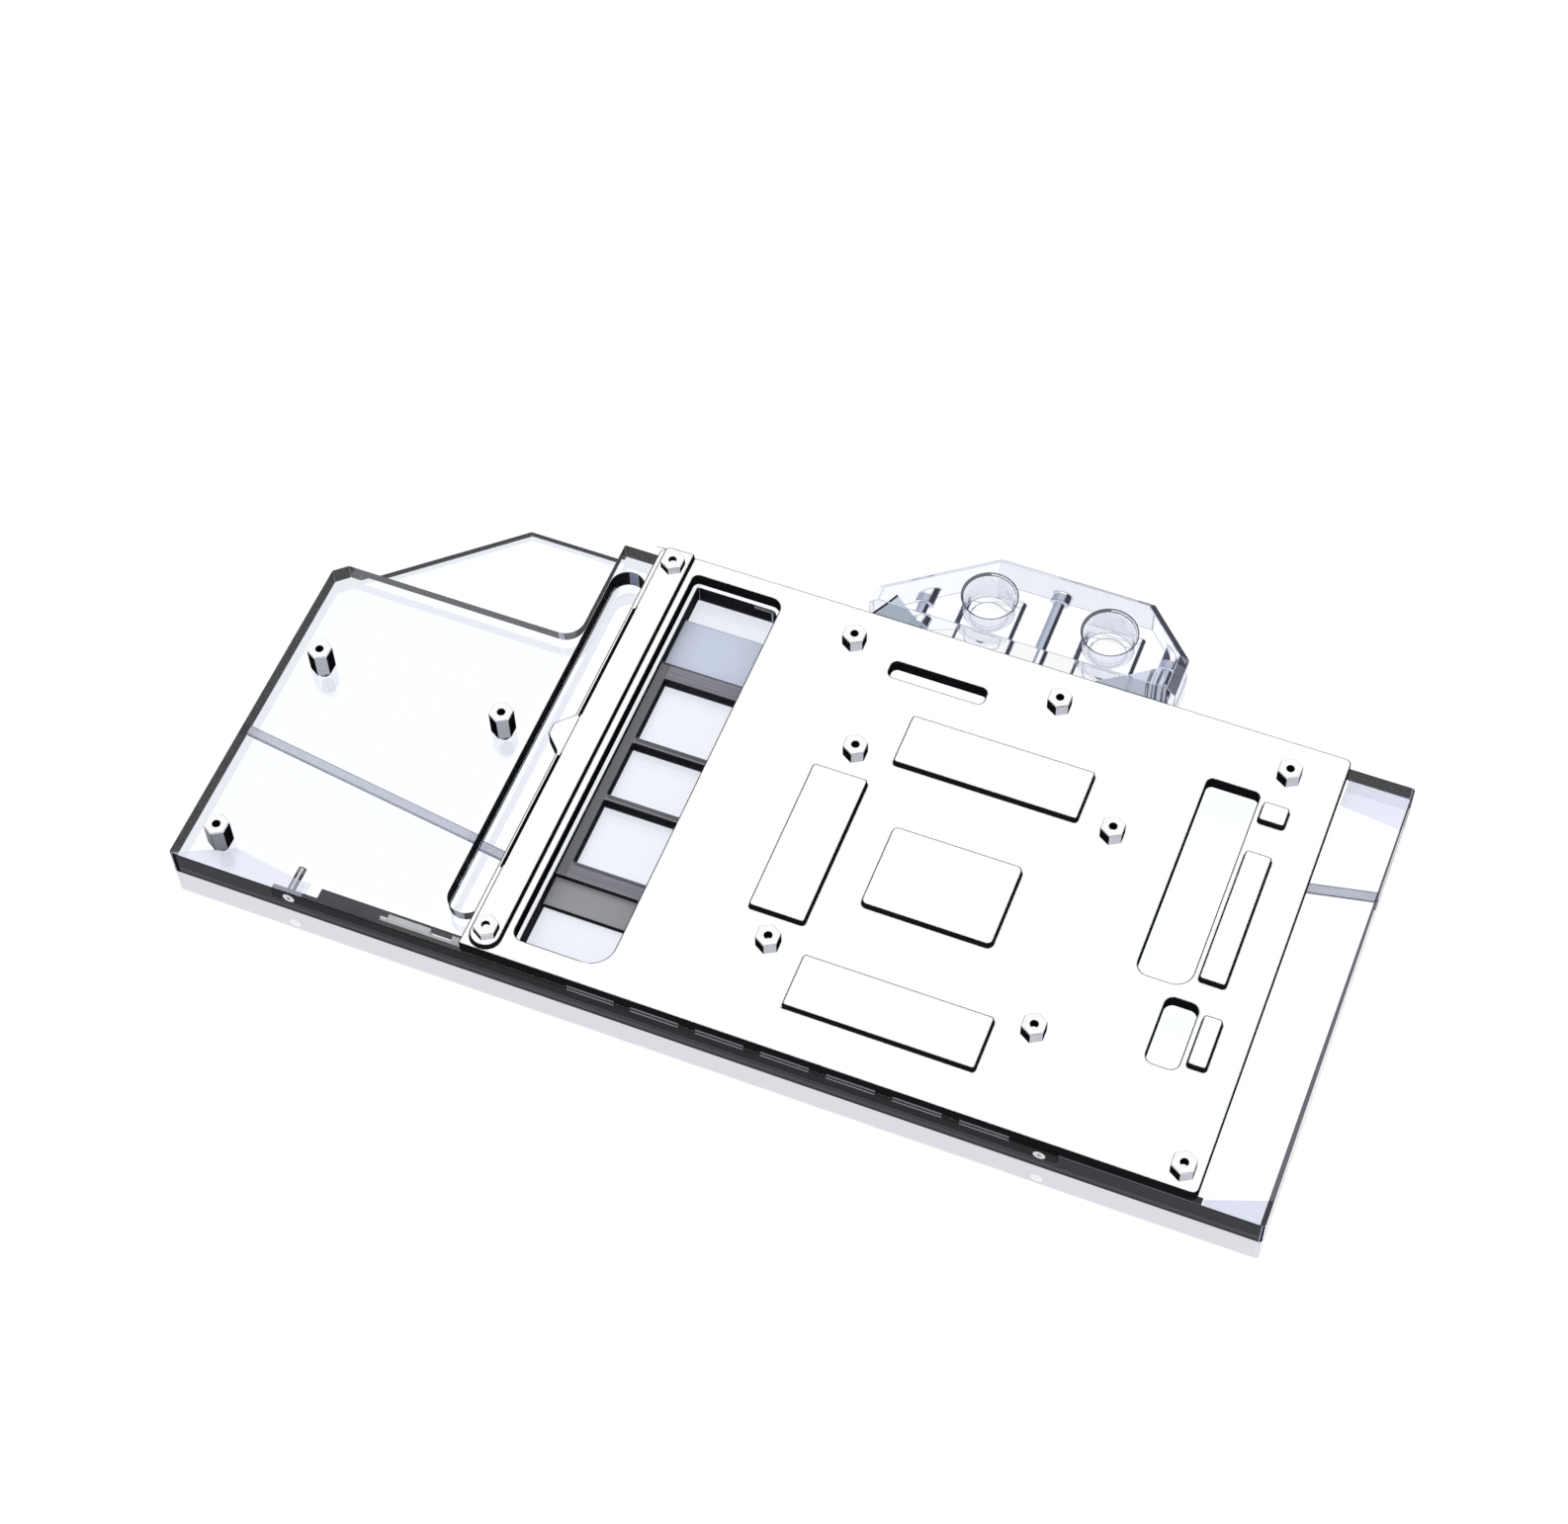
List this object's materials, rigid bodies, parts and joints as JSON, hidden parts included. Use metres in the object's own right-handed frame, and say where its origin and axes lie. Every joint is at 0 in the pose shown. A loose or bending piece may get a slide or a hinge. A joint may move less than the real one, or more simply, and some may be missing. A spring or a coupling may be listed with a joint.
{
  "type": "liquid cooling cold plate",
  "caption": "Flat cold plate with a clear body, plated metal contact plate, raised lands, hex standoffs and a clear terminal with threaded ports.",
  "frame": {"origin": "centre of the processor land, on its contact face", "axes": "+X along the length, away from the clear wing; +Y towards the terminal block; +Z out of the contact face, towards the card"},
  "size_m": [0.275, 0.149, 0.0184],
  "materials": {
    "clear_acrylic": "clear, machined and polished",
    "nickel_plate": "satin nickel plating on copper",
    "nickel_standoff": "bright nickel plating",
    "steel": "stainless",
    "seal_rubber": "soft, matt",
    "black_plastic": "matt",
    "board": "satin",
    "light_white": "milky, lit from inside"
  },
  "bodies": {
    "root": {"acrylic_body": "clear_acrylic", "terminal_block": "clear_acrylic", "cold_plate": "nickel_plate", "jet_plate": "steel", "main_seal": "seal_rubber", "inlet_seal": "seal_rubber", "outlet_seal": "seal_rubber", "body_screws": "steel", "terminal_screws": "steel", "light_cover_screws": "steel", "light_cover": "black_plastic", "light_board": "board", "light_modules": "light_white", "standoff_wing_1": "nickel_standoff", "standoff_wing_2": "nickel_standoff", "standoff_wing_3": "nickel_standoff", "standoff_rail_1": "nickel_standoff", "standoff_rail_2": "nickel_standoff", "standoff_core_1": "nickel_standoff", "standoff_edge_1": "nickel_standoff", "standoff_core_2": "nickel_standoff", "standoff_edge_2": "nickel_standoff", "standoff_core_3": "nickel_standoff", "standoff_edge_3": "nickel_standoff", "standoff_core_4": "nickel_standoff", "standoff_edge_4": "nickel_standoff"}
  },
  "joints": []
}
